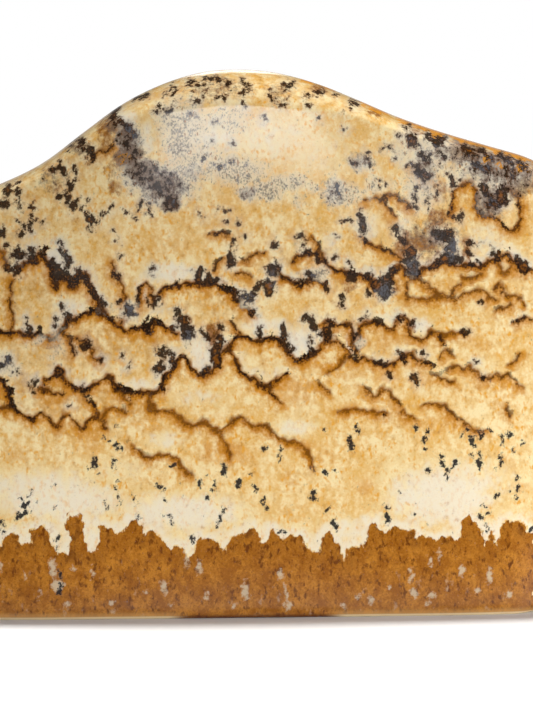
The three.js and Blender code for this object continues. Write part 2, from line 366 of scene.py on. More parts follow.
# Dark blots, by half width: each a point or a path. The first are brown-black stains and the second are
# black dendrites, finer and bluer.
BLOTS = {
    1.2: [
        [(73, 167), (76, 180)], [(104, 214), (113, 205)], [(232, 237), (232, 245)],
        [(147, 298), (150, 306)], [(55, 318), (56, 326)], [(26, 318), (27, 326)], [(493, 246), (494, 252)],
        [(191, 93), (192, 99)], [(437, 185), (437, 198)], [(430, 198), (430, 205)],
        [(415, 188), (416, 197)], [(410, 207), (417, 208)], [(217, 210), (228, 211)],
        [(213, 234), (220, 232), (226, 234)], [(174, 88), (174, 103)],
        [(270, 90), (270, 98), (276, 104), (283, 106), (288, 100)], [(390, 372), (388, 377)],
        [(200, 213), (202, 219), (206, 217)], [(124, 210), (130, 215), (137, 218)],
        [(138, 208), (143, 203), (150, 205), (150, 216), (146, 214)], [(343, 222), (350, 220)],
        [(165, 96), (170, 90), (172, 85)], [(155, 112), (158, 105), (165, 114), (170, 110)],
        [(448, 173), (452, 180), (455, 186)], [(378, 180), (380, 188)],
        [(383, 150), (386, 146), (392, 149)],
    ],
    2.0: [
        [(59, 162), (63, 170), (68, 177), (71, 184), (68, 190), (67, 196), (70, 205), (72, 211), (76, 204),
         (78, 198)],
        [(17, 183)], [(18, 190), (20, 210)], [(31, 215), (32, 221), (28, 227), (22, 225), (19, 221)],
        [(42, 221)], [(32, 232)], [(83, 207), (88, 213), (91, 220), (90, 230)], [(97, 224)], [(88, 200)],
        [(84, 340), (90, 346)], [(73, 343), (73, 353)], [(121, 258)], [(113, 231)], [(117, 240)],
        [(152, 269), (153, 275)], [(123, 356)], [(128, 366)], [(259, 330), (260, 338)], [(333, 257)],
        [(348, 261)], [(335, 184), (339, 197)], [(366, 152), (371, 168)], [(353, 162)], [(220, 166)],
        [(231, 161)], [(228, 222)], [(238, 222)], [(246, 237)], [(275, 240), (274, 247)], [(336, 237)],
        [(316, 91), (322, 93)], [(352, 104), (356, 106)], [(478, 150), (484, 152)],
        [(508, 163), (516, 165)], [(512, 172), (514, 180)], [(500, 186), (508, 190)],
        [(472, 160), (476, 166)], [(415, 186), (415, 204)], [(429, 200), (429, 208)],
        [(404, 128), (408, 124)], [(397, 158)], [(506, 198), (508, 206)], [(441, 155)], [(441, 166)],
        [(408, 165)], [(400, 135)], [(397, 157)], [(387, 183)], [(461, 179)], [(366, 313)], [(388, 374)],
        [(423, 354)], [(476, 362)], [(478, 245)], [(470, 253)], [(516, 322), (523, 318)], [(482, 302)],
        [(70, 404)], [(192, 115)], [(182, 149)], [(204, 156)], [(211, 142)], [(216, 122)], [(232, 145)],
        [(264, 118)], [(135, 100), (147, 93)], [(198, 86), (206, 86)], [(203, 78), (213, 78)], [(204, 95)],
        [(218, 97)], [(225, 98)], [(241, 80), (247, 86), (243, 93), (250, 92)], [(243, 100), (244, 106)],
        [(318, 93)], [(335, 94)], [(410, 125)], [(307, 95)], [(305, 100)], [(308, 107)], [(318, 118)],
        [(343, 113)], [(345, 130)], [(384, 416)], [(102, 300), (104, 308)],
    ],
    3.0: [
        [(450, 176), (453, 186)], [(464, 146), (470, 151)], [(484, 154), (490, 158)],
        [(500, 155), (506, 160)], [(521, 163), (526, 168)], [(478, 162), (484, 168), (490, 173)],
        [(440, 153), (444, 156)], [(53, 170)], [(61, 196)], [(32, 206)], [(20, 234)], [(102, 214)],
        [(92, 149), (92, 160)], [(6, 246)], [(60, 243), (62, 250), (67, 256), (68, 268)],
        [(84, 278), (90, 286), (94, 297)], [(61, 304)], [(68, 314), (69, 325)], [(84, 345), (86, 348)],
        [(101, 361)], [(114, 272), (118, 278)], [(119, 302)], [(154, 306), (158, 298)], [(160, 300)],
        [(172, 355), (173, 364)], [(163, 388)], [(174, 327)], [(202, 330), (208, 338)], [(220, 327)],
        [(237, 293)], [(253, 292), (262, 284)], [(276, 262), (277, 270)], [(291, 279)], [(310, 283)],
        [(327, 287)], [(300, 236)], [(305, 243)], [(303, 253), (310, 252)], [(324, 262)],
        [(343, 297), (342, 303)], [(369, 293)], [(430, 268), (437, 263)], [(469, 243)], [(480, 262)],
        [(471, 266)], [(493, 253)], [(284, 329), (284, 341)], [(303, 320)], [(310, 341), (313, 352)],
        [(287, 345), (292, 351)], [(362, 318)], [(355, 336)], [(399, 316)], [(412, 323)], [(403, 361)],
        [(414, 376), (418, 384)], [(484, 379)], [(352, 103)], [(32, 383), (36, 382)], [(34, 390)],
        [(2, 366)], [(17, 371)], [(52, 267), (54, 262)], [(117, 108), (116, 114), (113, 119)],
        [(120, 121), (126, 126), (131, 131), (135, 138)], [(172, 205)], [(283, 85), (291, 85)], [(190, 82)],
        [(196, 100)], [(219, 80)], [(228, 84)], [(320, 335)], [(360, 215), (365, 240)],
        [(395, 228), (403, 242)], [(376, 363), (386, 364)],
    ],
    4.5: [
        [(411, 136), (413, 143)], [(429, 137), (434, 141), (442, 140)], [(422, 155), (427, 158)],
        [(418, 170), (427, 177)], [(484, 187), (488, 196), (494, 204)], [(500, 194), (502, 200)],
        [(82, 142)], [(88, 152)], [(8, 190)], [(4, 204)], [(1, 232)], [(91, 218)], [(9, 268)], [(18, 271)],
        [(32, 250), (32, 261)], [(28, 331)], [(160, 352), (164, 350)], [(158, 371), (160, 366)],
        [(178, 313)], [(231, 254), (230, 263)], [(199, 272), (200, 280)], [(208, 280), (215, 281)],
        [(221, 340), (216, 350), (217, 363)], [(207, 371)], [(253, 313)], [(272, 268), (274, 272)],
        [(310, 275)], [(317, 259)], [(366, 275)], [(404, 261)], [(418, 272)], [(497, 259)], [(518, 261)],
        [(458, 217)], [(464, 332)], [(309, 317), (314, 326)], [(402, 355)],
        [(65, 272), (73, 283), (79, 274)], [(245, 296), (248, 300)], [(270, 292)], [(393, 272)],
        [(401, 320)], [(326, 338), (330, 324)], [(84, 389)], [(58, 372)], [(8, 360)],
    ],
    6.5: [
        [(18, 254)], [(54, 267), (57, 276)], [(183, 321), (188, 334)], [(130, 311)], [(268, 284)],
        [(353, 277)], [(378, 285)], [(388, 278), (384, 294)], [(412, 267)], [(410, 254)], [(450, 246)],
        [(447, 258), (456, 260)], [(524, 268)], [(437, 233), (448, 236)],
    ],
}
DENDRITES = {
    0.9: [
        [(224, 507), (218, 526)], [(106, 502), (108, 509)], [(282, 445), (279, 455), (280, 461)],
        [(214, 480), (213, 490)], [(207, 474)], [(100, 474)], [(117, 482)], [(117, 487), (119, 504)],
        [(133, 496), (134, 501)], [(138, 503)], [(31, 491), (30, 497)], [(486, 525), (487, 531)],
        [(479, 455), (480, 451)], [(400, 492)], [(511, 427)], [(496, 468)], [(54, 486)], [(55, 506)],
        [(448, 470), (446, 479)], [(502, 455), (500, 463)], [(523, 440), (523, 446)], [(252, 474)],
        [(253, 485), (257, 491)], [(165, 517)], [(305, 484)], [(335, 471)], [(88, 468)], [(509, 491)],
        [(137, 516), (139, 519)], [(38, 501)], [(32, 509)], [(415, 515)],
    ],
    1.6: [
        [(116, 427)], [(104, 438), (110, 441)], [(121, 449), (117, 443)], [(114, 460), (114, 468)],
        [(164, 500)], [(171, 517), (173, 525)], [(22, 498)], [(200, 482), (200, 487)], [(164, 489)],
        [(264, 498), (263, 503), (268, 510)], [(256, 492)], [(313, 472), (312, 469)], [(327, 509)],
        [(192, 536), (192, 541)], [(324, 429)], [(280, 532), (284, 531)], [(356, 425), (357, 432)],
        [(416, 426), (418, 430)], [(423, 443), (427, 435)], [(425, 449)], [(428, 431)],
        [(440, 455), (443, 463), (448, 470), (455, 464)], [(472, 455)], [(462, 436)],
        [(480, 432), (481, 437)], [(490, 431)], [(513, 450)], [(516, 476), (517, 480)],
        [(518, 487), (518, 491)], [(515, 498)], [(483, 506)], [(489, 514)], [(386, 515), (388, 524)],
        [(502, 436), (502, 445)], [(500, 458), (501, 464)], [(335, 524), (336, 528)], [(0, 521), (3, 526)],
        [(4, 533)], [(57, 549)], [(60, 571), (61, 576)], [(60, 582), (61, 590)],
    ],
    2.5: [
        [(116, 447)], [(94, 459), (94, 467)], [(172, 465)], [(159, 486)], [(23, 506), (28, 503)],
        [(18, 518), (24, 512)], [(264, 448)], [(223, 465), (224, 474)], [(238, 481), (239, 486)],
        [(208, 498)], [(326, 472)], [(313, 491), (313, 498)], [(333, 521), (334, 525)],
        [(350, 437), (351, 450)], [(428, 470)], [(455, 462)], [(466, 429)], [(472, 438), (473, 446)],
        [(479, 461), (480, 466)], [(510, 435)], [(497, 497)], [(481, 517)], [(387, 507)], [(531, 528)],
        [(58, 539)], [(60, 593)],
    ],
}

# Soft tints: x, y, half width, half height, strength
TINTS = {
    "rust": [
        (113, 187, 8, 8, 0.8), (107, 134, 10, 20, 0.8), (125, 157, 11, 13, 1.2), (112, 168, 10, 10, 0.6),
        (53, 340, 8, 9, 1.0), (56, 187, 6, 7, 0.6), (3, 257, 5, 8, 0.9), (120, 320, 12, 5, 0.7),
        (214, 335, 8, 12, 1.0), (218, 350, 8, 14, 0.6), (404, 246, 9, 14, 1.0), (438, 218, 12, 9, 0.9),
        (425, 240, 20, 12, 0.8), (432, 250, 30, 16, 0.5), (466, 250, 5, 14, 0.8), (328, 326, 8, 10, 0.8),
        (330, 338, 10, 8, 0.6), (188, 322, 8, 10, 0.6), (205, 283, 24, 6, 0.7), (222, 292, 6, 8, 0.8),
        (240, 303, 8, 8, 0.6), (350, 285, 8, 8, 0.7), (395, 283, 6, 18, 0.5), (410, 326, 8, 10, 0.6),
        (147, 333, 6, 6, 0.7), (77, 279, 14, 8, 0.6), (45, 262, 10, 8, 0.5), (185, 424, 8, 5, 0.6),
        (258, 427, 12, 4, 0.5), (320, 88, 12, 6, 0.8), (375, 111, 9, 5, 0.9), (420, 130, 9, 5, 0.8),
        (436, 137, 6, 6, 0.7), (460, 142, 8, 5, 0.8), (530, 168, 5, 12, 0.9), (412, 141, 6, 8, 0.9),
        (516, 268, 18, 6, 0.6), (437, 135, 8, 6, 1.3), (460, 141, 8, 6, 1.1), (486, 159, 8, 7, 1.3),
        (498, 165, 9, 6, 1.3), (522, 168, 11, 8, 1.3), (530, 186, 5, 10, 0.7), (138, 166, 8, 10, 0.6),
        (452, 155, 20, 12, 0.5), (440, 190, 12, 14, 0.6), (300, 280, 12, 8, 0.4), (240, 90, 60, 8, 0.35),
    ],
    "ochre": [
        (35, 275, 20, 12, 0.7), (100, 338, 32, 12, 0.6), (58, 407, 34, 12, 0.8), (24, 388, 18, 12, 0.6),
        (118, 400, 30, 10, 0.6), (150, 425, 34, 10, 0.6), (210, 300, 34, 12, 0.5), (290, 393, 26, 16, 1.0),
        (330, 372, 26, 14, 0.7), (255, 360, 26, 14, 0.4), (390, 343, 30, 12, 0.6), (440, 284, 22, 10, 0.7),
        (400, 378, 40, 12, 0.6), (465, 344, 34, 12, 0.5), (500, 392, 24, 12, 0.6), (436, 422, 34, 12, 0.6),
        (224, 452, 26, 14, 1.0), (180, 432, 26, 8, 0.6), (270, 434, 16, 10, 0.6), (90, 440, 20, 14, 0.7),
        (140, 462, 16, 14, 0.6), (18, 455, 18, 8, 0.7), (60, 465, 16, 12, 0.5), (510, 300, 24, 14, 0.4),
        (305, 268, 12, 12, 0.6), (350, 300, 24, 10, 0.4), (360, 410, 30, 8, 0.8), (160, 250, 26, 14, 0.4),
        (270, 235, 26, 12, 0.5), (220, 222, 30, 12, 0.5), (370, 205, 22, 12, 0.4), (290, 481, 10, 10, 0.8),
        (506, 464, 12, 10, 0.8), (366, 487, 9, 7, 1.1), (287, 514, 9, 8, 0.6), (325, 456, 12, 8, 0.6),
        (522, 484, 8, 8, 0.7), (414, 525, 7, 5, 0.7), (302, 444, 18, 5, 0.8), (347, 442, 14, 8, 0.5),
        (385, 512, 8, 6, 0.4), (232, 500, 12, 8, 0.5), (152, 480, 12, 8, 0.5), (490, 345, 8, 5, 0.6),
        (180, 190, 30, 14, 0.4), (120, 285, 16, 20, 0.5),
    ],
    "tan": [
        (40, 290, 60, 30, 0.6), (50, 345, 70, 34, 0.7), (125, 345, 55, 36, 0.8), (120, 300, 34, 20, 0.4),
        (225, 310, 45, 26, 0.6), (195, 345, 26, 26, 0.5), (320, 270, 50, 24, 0.7), (395, 262, 40, 26, 0.5),
        (45, 392, 70, 26, 0.8), (120, 404, 55, 20, 0.8), (70, 430, 70, 14, 0.5), (280, 380, 30, 22, 0.4),
        (20, 250, 30, 30, 0.5), (60, 175, 34, 30, 0.4), (140, 180, 40, 30, 0.4), (440, 240, 40, 24, 0.5),
        (490, 190, 34, 24, 0.4), (340, 325, 30, 16, 0.3), (395, 345, 36, 16, 0.2), (215, 90, 60, 14, 0.4),
        (190, 415, 40, 14, 0.3), (20, 210, 26, 24, 0.3), (330, 232, 44, 14, 0.3),
    ],
    "bleach": [
        (128, 120, 12, 12, 0.8), (146, 140, 8, 20, 0.8), (214, 134, 44, 22, 0.7), (270, 140, 50, 26, 0.6),
        (320, 150, 40, 24, 0.5), (420, 150, 26, 24, 0.6), (470, 170, 20, 10, 0.5), (512, 190, 14, 22, 0.5),
        (40, 492, 70, 26, 0.8), (165, 505, 60, 16, 0.6), (450, 480, 75, 26, 0.7), (120, 470, 40, 14, 0.5),
        (58, 258, 16, 20, 0.9), (172, 272, 26, 12, 0.9), (143, 288, 10, 18, 0.8), (122, 318, 18, 8, 0.7),
        (76, 306, 18, 12, 0.8), (20, 318, 20, 12, 0.5), (200, 352, 13, 18, 1.0), (299, 345, 13, 18, 1.0),
        (262, 325, 24, 9, 0.9), (351, 340, 6, 18, 1.0), (388, 317, 14, 9, 0.7), (421, 326, 12, 9, 0.8),
        (100, 366, 16, 14, 0.6), (136, 384, 24, 7, 0.8), (60, 500, 70, 22, 0.9), (180, 512, 70, 20, 0.9),
        (440, 498, 56, 30, 1.0), (345, 530, 30, 14, 0.8), (295, 428, 24, 9, 0.8), (165, 440, 20, 10, 0.7),
        (195, 397, 34, 12, 0.6), (488, 232, 24, 18, 0.6), (405, 222, 10, 18, 0.7), (372, 225, 10, 16, 0.6),
        (330, 243, 12, 14, 0.6), (78, 545, 30, 20, 0.6), (236, 268, 22, 10, 0.4), (30, 345, 28, 10, 0.6),
        (46, 356, 16, 16, 0.5), (92, 540, 6, 16, 1.0), (415, 350, 16, 10, 0.4), (480, 365, 22, 8, 0.5),
    ],
    "umber": [
        (112, 122, 8, 12, 0.8), (127, 136, 11, 14, 1.0), (130, 154, 14, 14, 1.0), (142, 172, 18, 14, 1.0),
        (164, 186, 20, 16, 1.0), (171, 202, 10, 10, 1.3), (194, 172, 18, 9, 0.5), (76, 146, 14, 10, 0.7),
        (470, 152, 22, 12, 0.9), (424, 170, 12, 22, 0.6), (214, 90, 40, 14, 0.4), (280, 95, 14, 12, 0.5),
        (358, 161, 16, 9, 0.6), (490, 202, 15, 15, 0.9), (500, 172, 36, 12, 0.8), (516, 186, 18, 14, 0.8),
        (430, 238, 34, 20, 0.6), (460, 155, 16, 12, 0.6), (205, 90, 12, 14, 0.5), (225, 84, 12, 10, 0.5),
        (330, 192, 12, 16, 0.5), (247, 193, 9, 9, 0.6), (105, 310, 10, 8, 0.4), (14, 258, 18, 12, 0.5),
        (440, 150, 14, 14, 0.5), (50, 180, 14, 16, 0.5), (300, 245, 10, 12, 0.4), (500, 158, 40, 8, 0.8),
    ],
    "ash": [
        (130, 311, 9, 9, 0.9), (384, 292, 9, 8, 1.0), (384, 278, 8, 6, 0.5), (452, 250, 8, 11, 1.0),
        (413, 266, 7, 9, 0.9), (247, 300, 7, 9, 0.9), (272, 278, 7, 10, 0.7), (320, 273, 9, 7, 1.0),
        (130, 140, 12, 16, 0.9), (142, 178, 22, 18, 0.9), (166, 184, 30, 20, 1.1), (186, 160, 22, 18, 0.8),
        (182, 126, 24, 24, 0.9), (180, 142, 16, 26, 1.0), (230, 120, 22, 14, 0.7), (238, 172, 28, 14, 0.9),
        (208, 152, 16, 12, 0.6), (222, 163, 20, 10, 0.7), (430, 150, 34, 20, 0.5), (420, 185, 22, 20, 0.6),
        (490, 165, 40, 12, 0.7), (250, 194, 14, 9, 0.7), (268, 190, 16, 10, 1.0), (288, 182, 20, 9, 0.9),
        (342, 194, 18, 12, 0.9), (336, 190, 7, 16, 0.8), (298, 202, 8, 9, 0.6), (310, 187, 10, 7, 0.6),
        (370, 187, 7, 14, 0.6), (188, 338, 6, 9, 0.8), (492, 200, 12, 12, 0.7), (500, 175, 30, 12, 0.7),
        (438, 236, 8, 7, 0.7), (8, 364, 9, 10, 0.8), (57, 345, 8, 18, 0.5), (165, 205, 14, 8, 0.4),
        (362, 165, 10, 8, 0.6), (360, 228, 6, 16, 0.5), (361, 343, 5, 5, 0.9), (40, 340, 6, 4, 0.8),
        (64, 252, 4, 12, 0.6), (266, 594, 7, 4, 0.9), (186, 607, 5, 3, 0.8), (299, 606, 6, 3, 0.7),
        (11, 611, 5, 4, 0.8),
    ],
}

# The brown band at the foot: its upper edge from left to right, a row of broken columns
BAND_EDGE = [
    (0, 546), (2, 539), (10, 536), (14, 532), (18, 536), (20, 542), (30, 544), (31, 536), (27, 531),
    (38, 528), (41, 525), (48, 531), (51, 539), (55, 552), (65, 554), (69, 554), (70, 533), (66, 528),
    (67, 514), (73, 518), (81, 513), (83, 526), (85, 539), (87, 551), (93, 554), (99, 546), (99, 537),
    (98, 526), (106, 528), (113, 528), (116, 533), (123, 532), (128, 526), (131, 519), (138, 519),
    (143, 528), (143, 537), (146, 533), (153, 531), (159, 537), (166, 544), (169, 551), (174, 545),
    (179, 547), (185, 549), (187, 559), (195, 554), (195, 539), (215, 539), (220, 544), (226, 552),
    (230, 539), (238, 534), (246, 533), (253, 527), (258, 534), (260, 544), (266, 541), (273, 530),
    (278, 536), (283, 541), (286, 537), (291, 535), (301, 537), (308, 549), (318, 554), (321, 541),
    (329, 530), (334, 539), (341, 546), (343, 562), (347, 551), (352, 546), (358, 549), (363, 543),
    (368, 542), (367, 526), (374, 521), (379, 529), (385, 533), (390, 529), (396, 527), (406, 530),
    (413, 529), (415, 537), (423, 537), (436, 539), (449, 537), (456, 541), (461, 534), (462, 521),
    (468, 514), (474, 521), (481, 529), (486, 546), (491, 530), (497, 546), (499, 536), (503, 521),
    (512, 522), (523, 521), (526, 531), (533, 533),
]
# Pale inclusions in the band: x, y, half width, half height
PALE_SPOTS = [
    (92, 573, 1.8, 4), (73, 569, 1.5, 2.5), (25, 577, 1.5, 3), (39, 594, 1.5, 4), (112, 602, 4, 2),
    (112, 611, 3, 2), (146, 591, 2, 2), (164, 587, 4, 7), (172, 604, 2, 2), (67, 605, 4, 2.5),
    (0, 567, 1.5, 4), (199, 567, 3, 8), (280, 574, 3, 5), (245, 591, 4, 9), (206, 596, 2.5, 4),
    (289, 607, 3, 5), (235, 606, 3, 2.5), (286, 594, 2, 9), (343, 606, 3, 4), (411, 575, 2.5, 6),
    (462, 571, 3, 4), (489, 576, 2.8, 7), (414, 593, 4.5, 5), (433, 596, 4, 3), (427, 603, 3, 3),
    (358, 597, 2.5, 3), (370, 599, 3, 5), (478, 591, 3.5, 3), (509, 594, 2.5, 4), (430, 561, 2, 5),
    (440, 553, 1.2, 5), (389, 586, 2, 2), (53, 568, 4, 10), (58, 586, 6, 6), (187, 556, 2.5, 8),
]
# The orange rim along the right part of the crest, in three stretches, with its half width below
RIM = [
    [(302, 77), (318, 82), (332, 88)], [(362, 102), (374, 107), (386, 112)],
    [(400, 119), (420, 126), (460, 138), (500, 150), (540, 161)],
]
RIM_HALF = 3.2

LEFT_EDGE, RIGHT_EDGE = BAND_EDGE[0][0], BAND_EDGE[-1][0]
FAR_BELOW = 900  # well under the foot
SIDE_BLEND = 1.2  # how gradually the side changes between two strokes
RUST_REACH = {"middle": 3.25, "lean": 1.75}  # how far a vein's rust goes: more below it, less above
VEIN_BLEACH = {"middle": 6, "reach": 9}  # the bleached strip above a vein
FOOT_BLEACH = {"strength": 0.85, "reach": 14}  # and the one along the band
FARTHEST = 8  # mm, the most that the mesh keeps of any distance
FOOT_GAP = {"x": 1.2, "reach": 8}  # mm, the middle stretch of the foot without the painted reflection, which gets a painted contact shadow instead

# The bends of the drawing, read by waves(): through the stone from x and z in mm, past its ends from the
# distance beyond and y, and the small wander of every stroke
BEND_DEPTH = 8  # mm behind the middle plane, where the bend is whole
BEND_OFFSET = 90
BEND_ACROSS = [(40, math.inf, 6.1, 0.7), (18, 5.3, 9.7, 0)]
BEND_DOWN = [(14, 7.3, math.inf, 0.4), (8, 3.1, 11, 2)]
PAST_REACH = 60
PAST_ACROSS = [(10, 50, 23, 0)]
PAST_DOWN = [(12, 21, math.inf, 0)]
WANDER_ACROSS = [(0.8, 5.1, 1.7, 0), (0.9, -6.3, 3.7, 2)]
WANDER_DOWN = [(0.8, 1.6, 4.7, 1), (0.9, 3.9, -7.1, 0)]


def nearest(x, y, paths):
    """Distance to the nearest of the paths, the side on which it lies, and which of them it is.

    For each straight piece, a point's foot is its projection held between the ends, the distance is the
    length of the offset from the foot, and the piece's side is the sine of the angle from the piece to
    the offset: 1 above a piece that runs to the right, -1 below it. The side is the mean of the pieces'
    sides, weighted by a falling exponential of their distances, so it changes smoothly between paths.
    """
    best = np.full(x.shape, np.inf)
    which = np.zeros(x.shape, int)
    leaning = np.zeros(x.shape)
    weights = np.full(x.shape, 1e-300)
    for index, path in enumerate(paths):
        for (ax, ay), (bx, by) in zip(path, path[1:] or path):
            dx, dy = bx - ax, by - ay
            foot = np.clip(((x - ax) * dx + (y - ay) * dy) / max(dx * dx + dy * dy, 1e-9), 0, 1)
            ex, ey = x - ax - foot * dx, y - ay - foot * dy
            distance = np.hypot(ex, ey)
            weight = np.exp(-distance / SIDE_BLEND)
            leaning += weight * (dy * ex - dx * ey) / np.maximum(distance * math.hypot(dx, dy), 1e-9)
            weights += weight
            which = np.where(distance < best, index, which)
            best = np.minimum(best, distance)
    return best, leaning / weights, which


def blot_depth(x, y, blots):
    """How deep a point lies in the union of the blots: the greatest of half width less distance."""
    depths = [half - nearest(x, y, paths)[0] for half, paths in blots.items()]
    return np.max(depths, axis=0)


def soft_patches(x, y, patches):
    """The strongest of the patches at each point, each a bell over its ellipse."""
    total = np.zeros(x.shape)
    for px, py, half_x, half_y, strength in patches:
        bell = strength * np.exp(-(((x - px) / half_x) ** 2 + ((y - py) / half_y) ** 2) ** 1.5 * 0.7)
        total = np.maximum(total, bell)
    return total


def inside(x, y, outline):
    """True where a line drawn upwards from the point crosses the outline an odd number of times."""
    odd = np.zeros(x.shape, bool)
    for (ax, ay), (bx, by) in zip(outline, outline[1:]):
        spans = (ax > x) != (bx > x)
        odd ^= spans & (y > ay + (by - ay) * (x - ax) / (bx - ax if bx != ax else 1))
    return odd


def through_the_stone(points):
    """Where each point of the stone reads the drawing, which is bent and shifted behind the picture side.

    The picture side reads it as the camera sees it. From the crest backwards a smooth bend grows until
    the back is reached. Past the drawing's ends it is read backwards, with a bend that grows too.
    """
    x, y = as_drawn(points)
    behind = np.clip((points[:, 1] - TURN * points[:, 0]) / BEND_DEPTH, 0, 1)
    behind = behind * behind * (3 - 2 * behind)
    px, pz = points[:, 0], points[:, 2]
    x = x + behind * (BEND_OFFSET + waves(px, pz, BEND_ACROSS))
    y = y + behind * waves(px, pz, BEND_DOWN)
    beyond = np.maximum(0, np.maximum(LEFT_EDGE - x, x - RIGHT_EDGE))
    x = np.where(x < LEFT_EDGE, 2 * LEFT_EDGE - x, x)
    x = np.where(x > RIGHT_EDGE, 2 * RIGHT_EDGE - x, x)
    swing = np.minimum(1, beyond / PAST_REACH)
    y = y + swing * waves(beyond, y, PAST_DOWN)
    x = x + swing * waves(beyond, y, PAST_ACROSS)
    return x, y


def wandering(x, y):
    """The drawing's place with small waves added, so that its strokes wander as a natural line does."""
    return x + waves(x, y, WANDER_ACROSS), y + waves(x, y, WANDER_DOWN)


def markings(points):
    """What the mesh keeps for the material: five attributes of three numbers each, lengths in mm.

    Rust is the stronger of its tint and a bell about the nearest vein, wider below it. Bleach is the
    strongest of its tint, a bell above the vein and one along the band. A pale spot's depth is 1 less
    the distance in ellipse radii, times the smaller radius.
    """
    x, y = wandering(*through_the_stone(points))
    strokes = [(VEIN_KINDS[kind], path) for kind, paths in VEINS.items() for path in paths]
    distance, side, which = nearest(x, y, [path for _, path in strokes])
    half, dark, below, above = np.array([kind for kind, _ in strokes])[which].T
    signed = distance * side
    rust = soft_patches(x, y, TINTS["rust"])
    reach = RUST_REACH["middle"] - RUST_REACH["lean"] * side
    rust = np.maximum(rust, below * np.exp(-((distance / reach) ** 2)))
    bleach = soft_patches(x, y, TINTS["bleach"])
    from_strip = (signed - VEIN_BLEACH["middle"]) / VEIN_BLEACH["reach"]
    halo = above * np.exp(-(from_strip**2)) * np.clip(0.5 + side, 0, 1)
    bleach = np.maximum(bleach, halo)
    ochre, tan, umber, ash = (soft_patches(x, y, TINTS[name]) for name in ("ochre", "tan", "umber", "ash"))
    blots = blot_depth(x, y, BLOTS)
    dendrites = blot_depth(x, y, DENDRITES)
    edge = nearest(x, y, [BAND_EDGE])[0]
    rim = RIM_HALF - nearest(x, y, RIM)[0]
    foot = [(LEFT_EDGE - 1, FAR_BELOW), (LEFT_EDGE - 1, BAND_EDGE[0][1]), *BAND_EDGE]
    foot += [(RIGHT_EDGE + 1, BAND_EDGE[-1][1]), (RIGHT_EDGE + 1, FAR_BELOW)]
    band = np.where(inside(x, y, foot), edge, -edge)
    pale = np.full(x.shape, -FARTHEST / UNIT)
    for px, py, half_x, half_y in PALE_SPOTS:
        depth = 1 - np.hypot((x - px) / half_x, (y - py) / half_y)
        pale = np.maximum(pale, depth * min(half_x, half_y))
    strip = FOOT_BLEACH["strength"] * np.exp(-((edge / FOOT_BLEACH["reach"]) ** 2))
    bleach = np.maximum(bleach, np.where(band < 0, strip, 0))
    lengths = {
        "veins": (signed, distance, half),
        "blots": (blots, dendrites, dark / UNIT),
        "band": (band, pale, rim),
    }
    kept = {name: np.stack(parts, axis=1) * UNIT for name, parts in lengths.items()}
    kept = {name: np.clip(parts, -FARTHEST, FARTHEST) for name, parts in kept.items()}
    kept["tints"] = np.stack([rust, ochre, bleach], axis=1)
    kept["shades"] = np.stack([umber, ash, tan], axis=1)
    return kept


def make_stone():
    """The mesh: each ring joined to the next by four-sided faces, and a fan at each tip."""
    rings, tips = stone_points()
    columns, rows = rings.shape[:2]
    points = np.concatenate([rings.reshape(-1, 3), tips])
    low, high = (np.array(corner) / MM for corner in cad_box)
    points = np.clip(points, low, high)
    grid = np.arange(columns * rows).reshape(columns, rows)
    after = np.roll(grid, -1, axis=1)
    quads = np.stack([grid[:-1], grid[1:], after[1:], after[:-1]], axis=-1).reshape(-1, 4)
    left = np.stack([np.full(rows, columns * rows), grid[0], after[0]], axis=-1)
    right = np.stack([grid[-1], np.full(rows, columns * rows + 1), after[-1]], axis=-1)
    mesh = bpy.data.meshes.new("picture_jasper")
    mesh.from_pydata(points * MM, [], [*quads.tolist(), *left.tolist(), *right.tolist()])
    mesh.polygons.foreach_set("use_smooth", np.ones(len(mesh.polygons), bool))
    for name, values in markings(points).items():
        layer = mesh.attributes.new(name, "FLOAT_VECTOR", "POINT")
        layer.data.foreach_set("vector", values.astype(np.float32).ravel())
    mesh.validate()
    stone = bpy.data.objects.new("picture_jasper", mesh)
    bpy.context.collection.objects.link(stone)
    return stone


class Value:
    """A number, colour or vector over the surface. Arithmetic on numbers adds the Math nodes for it."""

    def __init__(self, shading, socket):
        self.shading = shading
        self.socket = socket

    def math(self, operation, *operands):
        """The result of a Math node on these operands."""
        return self.shading.node("ShaderNodeMath", {"operation": operation}, dict(enumerate(operands)))

    def __add__(self, other):
        return self.math("ADD", self, other)

    def __sub__(self, other):
        return self.math("SUBTRACT", self, other)

    def __rsub__(self, other):
        return self.math("SUBTRACT", other, self)

    def __mul__(self, other):
        return self.math("MULTIPLY", self, other)

    def __truediv__(self, other):
        return self.math("DIVIDE", self, other)

    __radd__ = __add__
    __rmul__ = __mul__

    def size(self):
        return self.math("ABSOLUTE", self)

    def or_more(self, other):
        return self.math("MAXIMUM", self, other)

    def or_less(self, other):
        return self.math("MINIMUM", self, other)

    def rise(self, low, high):
        """0 below low, 1 above high and smooth between them. It falls where high is below low."""
        settings = {"interpolation_type": "SMOOTHSTEP"}
        if not isinstance(low, Value) and not isinstance(high, Value) and low > high:
            return 1 - self.rise(high, low)
        sockets = {"Value": self, "From Min": low, "From Max": high}
        return self.shading.node("ShaderNodeMapRange", settings, sockets)


